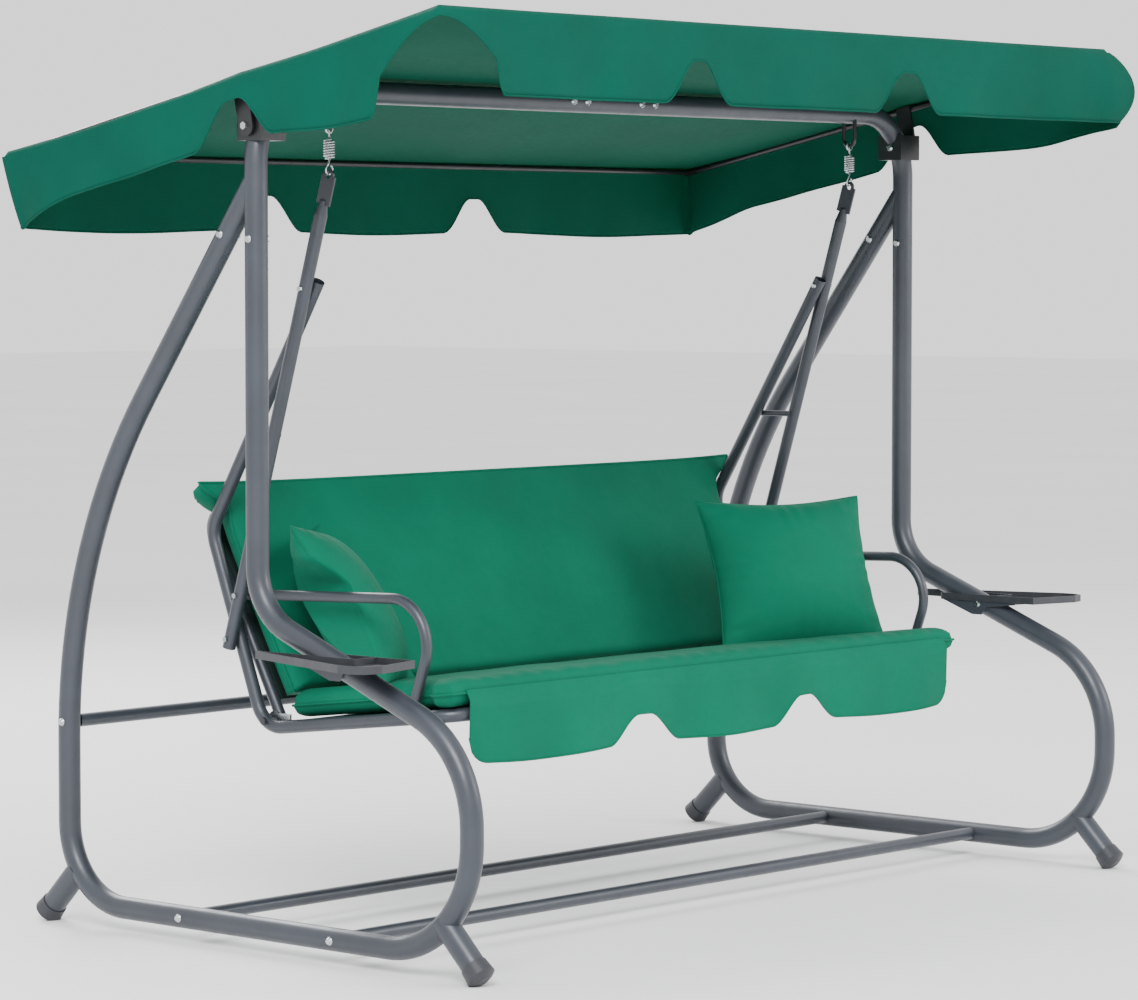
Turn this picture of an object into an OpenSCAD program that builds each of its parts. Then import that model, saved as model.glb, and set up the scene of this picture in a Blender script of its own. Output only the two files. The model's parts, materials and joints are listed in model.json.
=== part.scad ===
// Canopy swing bench: tube frame, a bench hung from two springs, a tilting canopy, pads and pillows.
// Front is -Y, left is -X, the floor is z = 0.

/* [Frame] */
// Distance between the centre planes of the two end frames
frame_w = 1900; // [1700:10:2200]
// Outside diameter of the frame tube
frame_tube = 42; // [38:1:48]
// Wall of the frame tube
frame_wall = 1.5; // [1.2:0.1:2]
// Height of the top bar's centreline
top_bar_z = 1555; // [1500:5:1600]
// Distance of the posts and the top bar from the origin, along Y
post_y = -20; // [-24:1:-16]
// Height of the base tube's centreline
base_z = 44; // [42:1:50]
// How far forward the front bend of the leg reaches
leg_front_y = 547; // [520:1:570]
// How far back the rear bend of the leg reaches
leg_rear_y = 492; // [480:1:510]
// Diameter of the crossbars
crossbar_d = 25; // [22:1:28]

/* [Trays] */
// Height of the tray rim above the floor
tray_z = 550; // [545:1:555]
// Height of the tray rim
tray_rim_h = 14; // [10:1:16]
// How far the tray reaches outside the frame plane
tray_reach = 128; // [110:1:140]

/* [Seat] */
// Distance between the two main hangers
hanger_w = 1532; // [1500:2:1560]
// Distance between the two seat side tubes
seat_w = 1480; // [1440:2:1490]
// Diameter of the seat and hanger tubes
seat_tube = 25; // [22:1:26]
// Wall of the seat, armrest and crossbar tubes
seat_wall = 1.2; // [1:0.1:1.5]
// Diameter of the armrest tube
arm_tube = 20; // [18:1:21]
// Height of the armrest's centreline
arm_z = 639; // [620:1:650]
// Lean of the backrest from the vertical, in degrees
backrest_lean = 29; // [27:1:31]
// Length of the backrest frame from its hinge
backrest_len = 440; // [440:2:450]

/* [Pads] */
// Thickness of the seat pad
seat_pad_t = 54; // [40:1:60]
// Thickness of the back pad
back_pad_t = 75; // [60:1:80]
// Width of a scatter pillow
pillow_w = 360; // [340:5:370]
// Height of a scatter pillow
pillow_h = 290; // [260:5:295]
// Thickness of a scatter pillow
pillow_t = 130; // [100:5:130]

/* [Canopy] */
// Width of the canopy
canopy_w = 1990; // [1980:2:2010]
// Distance of the canopy's front edge from the origin
canopy_front = 515; // [480:5:540]
// Distance of the canopy's rear edge from the origin
canopy_rear = 620; // [580:5:650]
// Height of the canopy above the posts
canopy_z = 1582; // [1580:1:1590]
// Rise of the canopy towards the front, in degrees
canopy_slope = 11.55; // [10:0.05:13]
// Depth of the valance
valance_h = 135; // [110:1:140]

/* [Hidden] */

$fn = 48;
slate = [0.29, 0.31, 0.35];
zinc = [0.75, 0.77, 0.78];
black = [0.08, 0.08, 0.09];
fabric = [0.0, 0.50, 0.40];

frame_x = frame_w / 2;
frame_r = frame_tube / 2;
seam_gap = 0.02;        // slit under a weld, between two stretches of a bent tube
joint_gap = 0.25;       // clearance of a bolt in its hole, all round
spigot_len = 45;        // length of the reduced end that slides into the next tube
frame_bolt_d = 8;
seat_bolt_d = 6;

// End frame, in the YZ plane
post_seam_z = 1262;
leg_seam_z = 1275;
corner_r = 130;                                   // bend from the top bar down to the post
diagonal_angle = 22;                              // fall of the diagonal part of the front leg
diagonal_top_z = 618;
function diagonal_z(y) = diagonal_top_z - (post_y - y) * tan(diagonal_angle);
diagonal_low_z = diagonal_z(-leg_front_y);
front_seam_y = -195;
rear_seam_y = 147;
front_bend_r = 200;
rear_bend_r = 150;
rear_sweep_r = 1080;
rear_leg_angle = 36.7;                            // lean of the upper part of the rear leg
rear_leg_top_y = 68;
rear_corner_z = leg_seam_z - (leg_rear_y - rear_leg_top_y) / tan(rear_leg_angle);
front_leg_path = [
    [post_y, post_seam_z], [post_y, diagonal_top_z], [-leg_front_y, diagonal_low_z],
    [-leg_front_y, base_z], [front_seam_y, base_z]
];
rear_leg_path = [
    [rear_leg_top_y, leg_seam_z], [leg_rear_y, rear_corner_z], [leg_rear_y, base_z], [rear_seam_y, base_z]
];

// Feet: stubs at 45 degrees from the bends
foot_z = 22;
foot_front_y = -563;
foot_rear_y = 548;
foot_reach = 106;       // from the cap's centre to the tube's centreline
foot_rod_d = 45;          // stub, a little wider than the tube that it is welded round
foot_cap_d = 54;
foot_bore_d = 41;
foot_dome_h = 9;        // height of the cap's domed end
foot_cap_len = 34;
foot_socket = 6;        // depth of the stub's socket below the cap's centre

// Crossbars
front_bar_y = -220;
rear_bar_y = 172;
mid_bar_z = 382;

// Trays, with x measured outward from the frame plane
tray_inner = 28;        // how far the tray reaches inside the frame plane
tray_front_y = -413;
tray_rear_y = -45;
tray_bolt_y = -240;
bracket_w = 49.2;       // width of the bracket over its two cheeks
bracket_front_y = -335;
slot_w = 51;            // slot of the tray round the leg
slot_y = -290;          // front end of that slot
slot_len = 400;

// Suspension: the seat swings about the top of the spring's upper hook
eye_rod = 8;
eye_r = 14;
hook_r = 8;
hook_wire = 5;
pivot_z = 1495;
eye_bottom_z = pivot_z - hook_wire / 2 - eye_rod / 2 - 0.5;
lower_hook_z = 1413;
coil_top_z = 1469;
coil_low_z = 1431;
coil_d = 22;
plate_hole_d = 12;
hole_z = lower_hook_z - hook_r + hook_wire / 2 + 0.5 - plate_hole_d / 2;
plate_w = 34;
plate_t = 4;
hanger_x = hanger_w / 2;
hanger_top = [post_y, hole_z];
hanger_end = [245, 538];
hanger_angle = atan2(hanger_end[0] - hanger_top[0], hanger_top[1] - hanger_end[1]);
hanger_len = norm(hanger_end - hanger_top);
function hanger_y(z) = hanger_top[0] + (hanger_top[1] - z) * tan(hanger_angle);

// Seat side, in the YZ plane
seat_x = seat_w / 2;
seat_r = seat_tube / 2;
strut_bolt_z = 1196;
strut_bolt = [hanger_y(strut_bolt_z), strut_bolt_z];
side_back = [323, 741];
side_top = strut_bolt - 16 * unit(side_back - strut_bolt);
side_low = [182, 374];
rail_slope = 6.84;                                // rise of the seat rail towards the front
rail_seam_y = -144;
front_rail_y = -305;
side_bend_r = 60;
function rail_z(y) = side_low[1] + (side_low[0] - y) * tan(rail_slope);
side_path = [side_top, side_back, side_low, [rail_seam_y, rail_z(rail_seam_y)]];
rung_z = 925;
arm_bolt = [hanger_y(arm_z - 16), arm_z - 16];
arm_back = arm_bolt + [7, 0];
arm_front = [-275, arm_z];
arm_foot = [-202, rail_z(-202) + seat_r - 1];
arm_bend_r = 85;
rear_rail_y = 112;

// Backrest, hinged at the rear corners of the seat
hinge_y = 168;
hinge_z = 390;
backrest_x = 708;
backrest_tube = 22;
backrest_r = backrest_tube / 2;
backrest_bend_r = 70;

// Canopy, built flat about its pivot and then turned to its slope
canopy_pin_z = 1487;
canopy_roof_h = (canopy_z - canopy_pin_z) * cos(canopy_slope);
canopy_shift = canopy_roof_h * sin(canopy_slope);
canopy_front_u = (canopy_front + post_y + canopy_shift) / cos(canopy_slope);
canopy_rear_u = (canopy_rear - post_y - canopy_shift) / cos(canopy_slope);
canopy_cloth = 4;
canopy_arm_d = 14;
canopy_arm_x = 983;
canopy_plate_x = 970;
canopy_plate_t = 6;
notch_top = 77;         // width of a valance notch at its top
notch_low = 185;        // its width at the hem
notch_h = 74;
front_notch_x = 315;
rear_notch_x = 305;
corner_cut = 135;       // length of the valance that is cut short at an open corner
clamp_x = 936;          // middle of the clamp block
clamp_w = 64;

// The bench is drawn about its posts, then moved so that the origin is under the middle of its box
foot_edge_y = foot_front_y - ((foot_cap_d + foot_cap_len) / 2 - foot_dome_h) * sin(45);
canopy_edge_y = post_y + (canopy_rear_u + canopy_cloth / 2) * cos(canopy_slope)
    + (canopy_roof_h - canopy_cloth / 2) * sin(canopy_slope);
middle_y = (foot_edge_y + canopy_edge_y) / 2;

// ---- shapes used by more than one part ----

function unit(v) = v / norm(v);
function turn(a, b) = atan2(a[0] * b[1] - a[1] * b[0], a[0] * b[0] + a[1] * b[1]);

// Ring profile of a tube; a wall of 0 gives a solid bar
module ring(d, wall) {
    difference() {
        circle(d = d);
        if (wall > 0) circle(d = d - 2 * wall);
    }
}

// Straight tube from a to b, both in the XY plane
module straight(a, b, d, wall) {
    translate([a[0], a[1], 0])
        rotate([0, 0, atan2(b[1] - a[1], b[0] - a[0])])
            rotate([0, 90, 0])
                linear_extrude(norm(b - a)) ring(d, wall);
}

// Bend at the corner p, with unit directions a in and b out
module bend(p, a, b, r, d, wall) {
    angle = turn(a, b);
    side = sign(angle);
    reach = r * tan(abs(angle) / 2);
    start = p - a * reach;
    centre = start + [-a[1], a[0]] * side * r;
    from_start = atan2(start[1] - centre[1], start[0] - centre[0]);
    first = side > 0 ? from_start : from_start + angle;
    translate([centre[0], centre[1], 0])
        rotate([0, 0, first])
            rotate([0, 0, seam_gap / r]) rotate_extrude(angle = abs(angle) - 2 * seam_gap / r, $fn = 96)
                translate([r, 0]) ring(d, wall);
}

// Tube along a path in the XY plane, with a bend radius for each inner corner
module bent_tube(path, radii, d, wall) {
    last = len(path) - 1;
    dirs = [for (i = [0:last - 1]) unit(path[i + 1] - path[i])];
    reach = [for (i = [0:last]) i == 0 || i == last ? 0
        : radii[i - 1] * tan(abs(turn(dirs[i - 1], dirs[i])) / 2)];
    for (i = [0:last - 1]) {
        from = path[i] + dirs[i] * reach[i];
        to = path[i + 1] - dirs[i] * reach[i + 1];
        straight(from, to - dirs[i] * seam_gap, d, wall);
        if (i > 0) seam_weld(from, dirs[i], d, wall);
        if (i < last - 1) seam_weld(to, dirs[i], d, wall);
    }
    for (i = [1:last - 1]) bend(path[i], dirs[i - 1], dirs[i], radii[i - 1], d, wall);
}

// Joins two stretches of a bent tube: a sleeve in the bore, or a band round a solid bar
module seam_weld(p, dir, d, wall) {
    if (wall > 0) straight(p - dir * 2, p + dir * 2, d - wall, wall / 2 + 0.6);
    else straight(p - dir * 0.5, p + dir * 0.5, d + 0.1, 0);
}

// Reduced end of a tube that slides into the next one: p is the seam, dir points out of the tube
module spigot(p, dir, length, d, wall) {
    bore = d - 2 * wall;
    straight(p - dir * 8, p - dir * 1, bore + 0.4, 1);
    straight(p - dir * 9, p + dir * length, bore - 0.2, 1.5);
}

// Lays the XY plane into the YZ plane at the given x
module in_side_plane(x) {
    translate([x, 0, 0]) rotate([90, 0, 90]) children();
}

// Solid or tubular bar along X, centred at x = 0
module cross_bar(length, y, z, d, wall) {
    translate([-length / 2, y, z]) rotate([0, 90, 0]) linear_extrude(length) ring(d, wall);
}

// Cylinder along X from x0 to x1
module x_rod(x0, x1, y, z, d) {
    translate([min(x0, x1), y, z]) rotate([0, 90, 0]) cylinder(d = d, h = abs(x1 - x0));
}

// Cylinder along Y from y0 to y1
module y_rod(x, y0, y1, z, d) {
    translate([x, max(y0, y1), z]) rotate([90, 0, 0]) cylinder(d = d, h = abs(y1 - y0));
}

// Bolt along +Z from its head at z = 0 to its nut at z = grip
module bolt(d, grip) {
    head_h = d * 0.55;
    translate([0, 0, -head_h]) cylinder(d1 = d * 1.2, d2 = d * 1.9, h = head_h);
    translate([0, 0, -0.1]) cylinder(d = d, h = grip + 0.2);
    translate([0, 0, grip]) cylinder(d = d * 1.8, h = d * 0.8, $fn = 6);
}

// Box with the outline of a pad, with rounded upright edges
module pad_outline(w, l, r) {
    translate([r - w / 2, -l / 2]) square([w - 2 * r, l]);
    translate([-w / 2, r - l / 2]) square([w, l - 2 * r]);
    for (sx = [-1, 1], sy = [-1, 1]) translate([sx * (w / 2 - r), sy * (l / 2 - r)]) circle(r = r);
}

// ---- frame ----

module post_cut(side) {
    translate([side * frame_x, post_y, post_seam_z - 1])
        cylinder(d = frame_tube - 2 * frame_wall + 0.8, h = corner_r + 120);
}

module rear_stub(side) {
    top = [post_y, leg_seam_z + (rear_leg_top_y - post_y) / tan(rear_leg_angle)];
    difference() {
        in_side_plane(side * frame_x) straight(top, [rear_leg_top_y, leg_seam_z], frame_tube, frame_wall);
        post_cut(side);
    }
}

module top_bar(side) {
    path = [[side * 60, top_bar_z], [side * frame_x, top_bar_z], [side * frame_x, post_seam_z]];
    difference() {
        union() {
            translate([0, post_y, 0]) rotate([90, 0, 0]) bent_tube(path, [corner_r], frame_tube, frame_wall);
            rear_stub(side);
        }
        for (x = [80, 120])
            y_rod(side * x, post_y - 40, post_y + 40, top_bar_z, frame_bolt_d + 2 * joint_gap);
        frame_bolt_places(side) cylinder(d = frame_bolt_d + 2 * joint_gap, h = 120, center = true);
        translate([side * frame_x, post_y, canopy_pin_z]) rotate([0, 90, 0])
            cylinder(d = frame_bolt_d + 2 * joint_gap, h = 160, center = true);
    }
}

// Sleeve that joins the two halves of the top bar
module top_bar_joiner() {
    sleeve_len = 280;
    sleeve_d = frame_tube - 2 * frame_wall - 0.2;
    color(slate) difference() {
        union() {
            cross_bar(sleeve_len, post_y, top_bar_z, sleeve_d, 2);
            cross_bar(119.8, post_y, top_bar_z, frame_tube, 3);
        }
        for (x = [-120, -80, 80, 120])
            y_rod(x, post_y - 40, post_y + 40, top_bar_z, frame_bolt_d + 2 * joint_gap);
    }
}

// Bolt axes across the seams of one end frame: post, rear leg
module frame_bolt_places(side) {
    translate([side * frame_x, post_y, post_seam_z + 24]) rotate([0, 90, 0]) children();
    translate([side * frame_x, rear_leg_top_y - 24 * sin(rear_leg_angle),
        leg_seam_z + 24 * cos(rear_leg_angle)])
        rotate([0, 90, 0]) children();
}

// Welded foot stub, from the cap's centre up into the tube
module foot_rod(y, lean, side) {
    translate([side * frame_x, y, foot_z]) rotate([lean, 0, 0]) translate([0, 0, 0.2 - foot_socket])
        difference() {
            cylinder(d = foot_rod_d, h = foot_reach + foot_socket + 12);
            translate([0, 0, -1]) cylinder(d = foot_bore_d, h = foot_reach + foot_socket - 34);
        }
}

// Bolt hole along X through a tube of one end frame
module frame_hole(side, y, z, d = frame_bolt_d) {
    x_rod(side * (frame_x - 40), side * (frame_x + 40), y, z, d + 2 * joint_gap);
}

module front_leg(side) {
    difference() {
        union() {
            in_side_plane(side * frame_x) {
                bent_tube(front_leg_path, [120, front_bend_r, front_bend_r], frame_tube, frame_wall);
                spigot([post_y, post_seam_z], [0, 1], spigot_len, frame_tube, frame_wall);
            }
            foot_rod(foot_front_y, -45, side);
        }
        frame_bolt_places(side) cylinder(d = frame_bolt_d + 2 * joint_gap, h = 120, center = true);
        frame_hole(side, tray_bolt_y, diagonal_z(tray_bolt_y), seat_bolt_d);
        frame_hole(side, front_bar_y, base_z);
    }
}

module rear_leg(side) {
    up = [-sin(rear_leg_angle), cos(rear_leg_angle)];
    difference() {
        union() {
            in_side_plane(side * frame_x) {
                bent_tube(rear_leg_path, [rear_sweep_r, rear_bend_r], frame_tube, frame_wall);
                spigot([rear_leg_top_y, leg_seam_z], up, spigot_len, frame_tube, frame_wall);
            }
            foot_rod(foot_rear_y, 45, side);
        }
        frame_bolt_places(side) cylinder(d = frame_bolt_d + 2 * joint_gap, h = 120, center = true);
        frame_hole(side, leg_rear_y - 2, mid_bar_z);
        frame_hole(side, rear_bar_y, base_z);
    }
}

// Middle part of the base, with a spigot into each leg
module base_tube(side) {
    difference() {
        in_side_plane(side * frame_x) {
            straight([front_seam_y, base_z], [rear_seam_y, base_z], frame_tube, frame_wall);
            spigot([front_seam_y, base_z], [-1, 0], spigot_len, frame_tube, frame_wall);
            spigot([rear_seam_y, base_z], [1, 0], spigot_len, frame_tube, frame_wall);
        }
        for (y = [front_bar_y, rear_bar_y]) frame_hole(side, y, base_z);
    }
}

// Crossbar between the end frames, its ends hollowed to sit on the tubes
module frame_crossbar(y, z) {
    color(slate) difference() {
        cross_bar(frame_w - 10, y, z, crossbar_d, seat_wall);
        for (side = [-1, 1]) in_side_plane(side * frame_x)
            translate([y, z]) rotate([0, 90, 0]) cylinder(d = frame_tube + 0.1, h = 120, center = true);
    }
}

// Crossbar whose ends are hollowed to sit on the upright part of the rear legs
module upright_crossbar(y, z) {
    color(slate) difference() {
        cross_bar(frame_w - 10, y, z, crossbar_d, seat_wall);
        for (side = [-1, 1]) translate([side * frame_x, y, z])
            cylinder(d = frame_tube + 4, h = 120, center = true);
    }
}

module frame_bolts() {
    color(zinc) {
        for (side = [-1, 1]) {
            frame_bolt_places(side) translate([0, 0, -frame_r]) bolt(frame_bolt_d, frame_tube);
            for (place = [[front_bar_y, base_z], [rear_bar_y, base_z], [leg_rear_y - 2, mid_bar_z]])
                translate([side * (frame_x + frame_r), place[0], place[1]]) rotate([0, -side * 90, 0])
                    bolt(frame_bolt_d, frame_tube);
            for (x = [80, 120]) translate([side * x, post_y - frame_r, top_bar_z]) rotate([-90, 0, 0])
                bolt(frame_bolt_d, frame_tube);
        }
    }
}

// Plastic cap on the end of a foot stub, flat where it stands
module foot_cap(y, lean, side) {
    color(black) difference() {
        translate([side * frame_x, y, foot_z]) rotate([lean, 0, 0]) {
            translate([0, 0, foot_dome_h - foot_cap_len / 2])
                cylinder(d1 = foot_cap_d, d2 = foot_rod_d + 4, h = foot_cap_len - foot_dome_h);
            translate([0, 0, foot_dome_h / 2 - foot_cap_len / 2])
                cylinder(d1 = foot_cap_d - 12, d2 = foot_cap_d, h = foot_dome_h / 2);
            translate([0, 0, -foot_cap_len / 2])
                cylinder(d1 = foot_cap_d - 32, d2 = foot_cap_d - 12, h = foot_dome_h / 2);
        }
        translate([side * frame_x, y, foot_z]) rotate([lean, 0, 0])
            translate([0, 0, -foot_socket]) cylinder(d = foot_rod_d, h = 100);
        translate([side * frame_x - 60, y - 60, -60]) cube([120, 120, 60]);
    }
}

// ---- trays ----

// Outline of the tray, drawn in by the given inset
module tray_shape(inset) {
    inner = inset - tray_inner;
    outer = tray_reach - inset;
    front = tray_front_y + inset;
    rear = tray_rear_y - 6 * inset;
    polygon([
        [inner, -150 - inset], [inner, front + 28], [tray_reach - 45, front], [outer - 12, front + 9],
        [outer, -378], [outer, -350], [outer - 8, -325], [31, rear], [26, rear]
    ]);
}

// Rimmed tray; the leg rises through the slot in its rear half
module tray(side) {
    pan_t = 2.5;
    rim_t = 2.5;
    color(black) translate([side * frame_x, 0, tray_z - tray_rim_h]) mirror([side > 0 ? 0 : 1, 0, 0])
        difference() {
            linear_extrude(tray_rim_h) tray_shape(0);
            translate([0, 0, pan_t]) linear_extrude(tray_rim_h) difference() {
                tray_shape(rim_t);
                translate([-slot_w / 2 - rim_t, slot_y - rim_t]) square([slot_w + 2 * rim_t, slot_len]);
            }
            translate([-slot_w / 2, slot_y, -1]) cube([slot_w, slot_len, tray_rim_h + 2]);
        }
}

// Saddle under a tray: two cheeks beside the leg and a bridge in front of it
module tray_bracket(side) {
    cheek_t = 3.2;
    bridge = [bracket_w, 40, 3];
    top = tray_z - tray_rim_h - 0.2;
    low = top - 28;
    cheek = [
        [-150, top], [bracket_front_y, top], [bracket_front_y, top - 4], [-262, top - 12],
        [tray_bolt_y - 10, low], [tray_bolt_y + 14, low]
    ];
    color(slate) difference() {
        union() {
            for (x = [-bracket_w / 2, bracket_w / 2 - cheek_t])
                in_side_plane(side * frame_x + x) linear_extrude(cheek_t) polygon(cheek);
            translate([side * frame_x - bracket_w / 2, bracket_front_y, top - bridge[2]]) cube(bridge);
        }
        frame_hole(side, tray_bolt_y, diagonal_z(tray_bolt_y), seat_bolt_d);
    }
}

module tray_bolts() {
    color(zinc) for (side = [-1, 1])
        translate([side * (frame_x - bracket_w / 2), tray_bolt_y, diagonal_z(tray_bolt_y)])
            rotate([0, side * 90, 0]) bolt(seat_bolt_d, bracket_w);
}

// ---- suspension ----

module eye(side) {
    color(black) difference() {
        translate([side * hanger_x, post_y, eye_bottom_z + eye_r]) rotate([90, 0, 90]) {
            rotate([0, 0, 180]) rotate_extrude(angle = 180) translate([eye_r, 0]) circle(d = eye_rod);
            for (s = [-1, 1]) translate([s * eye_r, 0, 0]) rotate([-90, 0, 0]) cylinder(d = eye_rod, h = 40);
        }
        cross_bar(frame_w, post_y, top_bar_z, frame_tube, 0);
    }
}

// Coil between two closed hooks
module spring(side) {
    color(zinc) translate([side * hanger_x, post_y, 0]) {
        translate([0, 0, coil_low_z]) linear_extrude(coil_top_z - coil_low_z) ring(coil_d, 3.5);
        for (end = [coil_low_z, coil_top_z - 4]) translate([0, 0, end]) cylinder(d = coil_d - 2, h = 4);
        for (z = [pivot_z - hook_r, lower_hook_z]) translate([0, 0, z]) rotate([90, 0, 0])
            rotate_extrude() translate([hook_r, 0]) circle(d = hook_wire);
        translate([0, 0, coil_top_z - 1]) cylinder(d = hook_wire, h = pivot_z - 2 * hook_r - coil_top_z + 1);
        translate([0, 0, lower_hook_z + hook_r])
            cylinder(d = hook_wire, h = coil_low_z - lower_hook_z - hook_r + 1);
    }
}

// Main hanger: a straight tube with a flattened, drilled top
module hanger(side) {
    flat_len = 55;
    neck_len = 20;
    color(slate) difference() {
        translate([side * hanger_x, hanger_top[0], hanger_top[1]]) rotate([hanger_angle, 0, 0]) {
            translate([-plate_t / 2, -plate_w / 2, -flat_len]) cube([plate_t, plate_w, flat_len]);
            rotate([0, 90, 0]) cylinder(d = 24, h = plate_t, center = true);
            translate([-plate_t / 2, -plate_w / 2, -12]) cube([plate_t, plate_w, 12]);
            translate([0, 0, -flat_len - neck_len]) cylinder(d1 = seat_tube, d2 = 14, h = neck_len + 8);
            translate([0, 0, -hanger_len - 16]) linear_extrude(hanger_len + 16 - flat_len - neck_len)
                ring(seat_tube, seat_wall);
        }
        translate([side * hanger_x, hanger_top[0], hole_z]) rotate([0, 90, 0])
            cylinder(d = plate_hole_d, h = 30, center = true);
        seat_bolt_holes(side);
    }
}

// Bolt axes through one side of the seat: side tube top, hanger foot, armrest back
hanger_bolt_places = [strut_bolt, [hanger_y(540), 540], arm_bolt];

module seat_bolt_holes(side) {
    for (place = hanger_bolt_places)
        x_rod(side * (seat_x - 30), side * (hanger_x + 30), place[0], place[1], seat_bolt_d + 2 * joint_gap);
}

// Front strut, back corner and seat side in one bent tube
module side_tube(side) {
    color(slate) difference() {
        in_side_plane(side * seat_x) bent_tube(side_path, [side_bend_r, side_bend_r], seat_tube, seat_wall);
        seat_bolt_holes(side);
        recline_bolt_hole(side);
    }
}

module hanger_rung(side) {
    side_run = (side_back[0] - side_top[0]) / (side_top[1] - side_back[1]);
    side_y = side_top[0] + (side_top[1] - rung_z) * side_run;
    color(slate) difference() {
        translate([side * (seat_x + hanger_x) / 2, side_y, rung_z]) rotate([90, 0, 0])
            cylinder(d = 12, h = side_y - hanger_y(rung_z));
        in_side_plane(side * seat_x) straight(side_top, side_back, seat_tube, 0);
        translate([side * hanger_x, hanger_top[0], hanger_top[1]]) rotate([hanger_angle, 0, 0])
            translate([0, 0, -hanger_len]) cylinder(d = seat_tube, h = hanger_len);
    }
}

// ---- seat ----

// Local frame of the seat: +Y runs back along the rail, +Z out of the seat
module in_seat_plane() {
    translate([0, front_rail_y, rail_z(front_rail_y)]) rotate([-rail_slope, 0, 0]) children();
}

rail_arm = (rail_seam_y - front_rail_y) / cos(rail_slope);

module seat_front_rail() {
    path = [[-seat_x, rail_arm], [-seat_x, 0], [seat_x, 0], [seat_x, rail_arm]];
    color(slate) in_seat_plane() {
        bent_tube(path, [side_bend_r, side_bend_r], seat_tube, seat_wall);
        for (side = [-1, 1]) spigot([side * seat_x, rail_arm], [0, 1], 40, seat_tube, seat_wall);
    }
}

module seat_rear_rail() {
    color(slate) difference() {
        cross_bar(seat_w, rear_rail_y, rail_z(rear_rail_y), backrest_tube, seat_wall);
        for (side = [-1, 1]) in_side_plane(side * seat_x)
            straight(side_low, [rail_seam_y, rail_z(rail_seam_y)], seat_tube, 0);
    }
}

module armrest(side) {
    color(slate) difference() {
        in_side_plane(side * seat_x)
            bent_tube([arm_back, arm_front, arm_foot], [arm_bend_r], arm_tube, seat_wall);
        in_seat_plane() straight([side * seat_x, 0], [side * seat_x, 400], seat_tube, 0);
        seat_bolt_holes(side);
    }
}

module seat_bolts() {
    inner = seat_x - arm_tube / 2;
    color(zinc) for (side = [-1, 1]) {
        for (place = [hanger_bolt_places[0], hanger_bolt_places[1]])
            translate([side * (seat_x - seat_r), place[0], place[1]]) rotate([0, side * 90, 0])
                bolt(seat_bolt_d, hanger_x - seat_x + seat_tube);
        translate([side * inner, arm_bolt[0], arm_bolt[1]]) rotate([0, side * 90, 0])
            bolt(seat_bolt_d, hanger_x + seat_r - inner);
    }
}

module seat_sling() {
    depth = (rear_rail_y - front_rail_y) / cos(rail_slope) - 26;
    color(black) in_seat_plane() translate([0, 14 + depth / 2, -1.5]) linear_extrude(3)
        pad_outline(seat_w - seat_tube - 4, depth, side_bend_r - 10);
}

module seat_pad() {
    front = -8;
    flare_end = 55;
    rear = 408;
    color(fabric) in_seat_plane() translate([0, 0, seat_r + 2]) linear_extrude(seat_pad_t) {
        translate([0, (front + flare_end) / 2]) pad_outline(seat_w + 20, flare_end - front, 20);
        translate([0, (flare_end - 30 + rear) / 2]) pad_outline(seat_w - 30, rear - flare_end + 30, 12);
    }
}

// ---- backrest ----

module in_backrest_plane() {
    translate([0, hinge_y, hinge_z]) rotate([90 - backrest_lean, 0, 0]) children();
}

module recline_bolt_hole(side) {
    x_rod(side * (backrest_x - 40), side * (seat_x + 40), hinge_y, hinge_z, frame_bolt_d + 0.1);
}

// Zinc plate on the rear corner of the seat; the backrest turns on its bolt
module recline_bracket(side) {
    color(zinc) difference() {
        translate([side * (seat_x - seat_r - 2), 0, 0]) rotate([90, 0, 90]) translate([0, 0, -2])
            linear_extrude(4) union() {
                translate([hinge_y, hinge_z]) circle(d = 34);
                translate([hinge_y - 42, hinge_z - 17]) square([42, 30]);
            }
        recline_bolt_hole(side);
    }
}

module recline_bolts() {
    color(black) for (side = [-1, 1])
        translate([side * (backrest_x - backrest_r - 1), hinge_y, hinge_z]) rotate([0, side * 90, 0])
            bolt(frame_bolt_d, seat_x + seat_r - backrest_x + backrest_r + 1);
}

module backrest_frame() {
    eye_len = 16;
    path = [[-backrest_x, 0], [-backrest_x, backrest_len], [backrest_x, backrest_len], [backrest_x, 0]];
    color(slate) difference() {
        in_backrest_plane() {
            bent_tube(path, [backrest_bend_r, backrest_bend_r], backrest_tube, seat_wall);
            for (side = [-1, 1]) translate([side * backrest_x, 0, 0]) rotate([0, 90, 0])
                cylinder(d = backrest_tube, h = eye_len, center = true);
        }
        for (side = [-1, 1]) recline_bolt_hole(side);
    }
}

module backrest_sling() {
    low = 40;
    high = backrest_len - backrest_r - 3;
    width = 2 * (backrest_x - backrest_r) - 4;
    color(black) in_backrest_plane() translate([0, (high + low) / 2, 0])
        linear_extrude(3, center = true) pad_outline(width, high - low, backrest_bend_r - 8);
}

module back_pad() {
    low = 28;
    wide_from = 432;        // the upper corners flare out from here, past the side tubes
    top = backrest_len + 14;
    width = 1436;
    flared_width = 1560;
    color(fabric) in_backrest_plane() translate([0, 0, backrest_r + 2]) {
        linear_extrude(back_pad_t) {
            translate([0, (low + top) / 2]) pad_outline(width, top - low, 24);
            translate([0, (wide_from + top) / 2]) pad_outline(flared_width, top - wide_from, 10);
        }
    }
}

// Pillow at its centre, turned to face the middle of the seat and leaning back
module pillow(centre, yaw, lean) {
    translate(centre) rotate([0, 0, yaw]) rotate([-lean, 0, 0]) rotate([90, 0, 0])
        translate([0, 0, -pillow_t / 2]) {
            translate([0, 0, pillow_t * 0.25]) linear_extrude(pillow_t * 0.5)
                pad_outline(pillow_w, pillow_h, 40);
            linear_extrude(pillow_t) pad_outline(pillow_w - 120, pillow_h - 100, 40);
        }
}

module pillow_right() {
    color(fabric) pillow([535, -50, 630], -21, 22);
}

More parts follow.
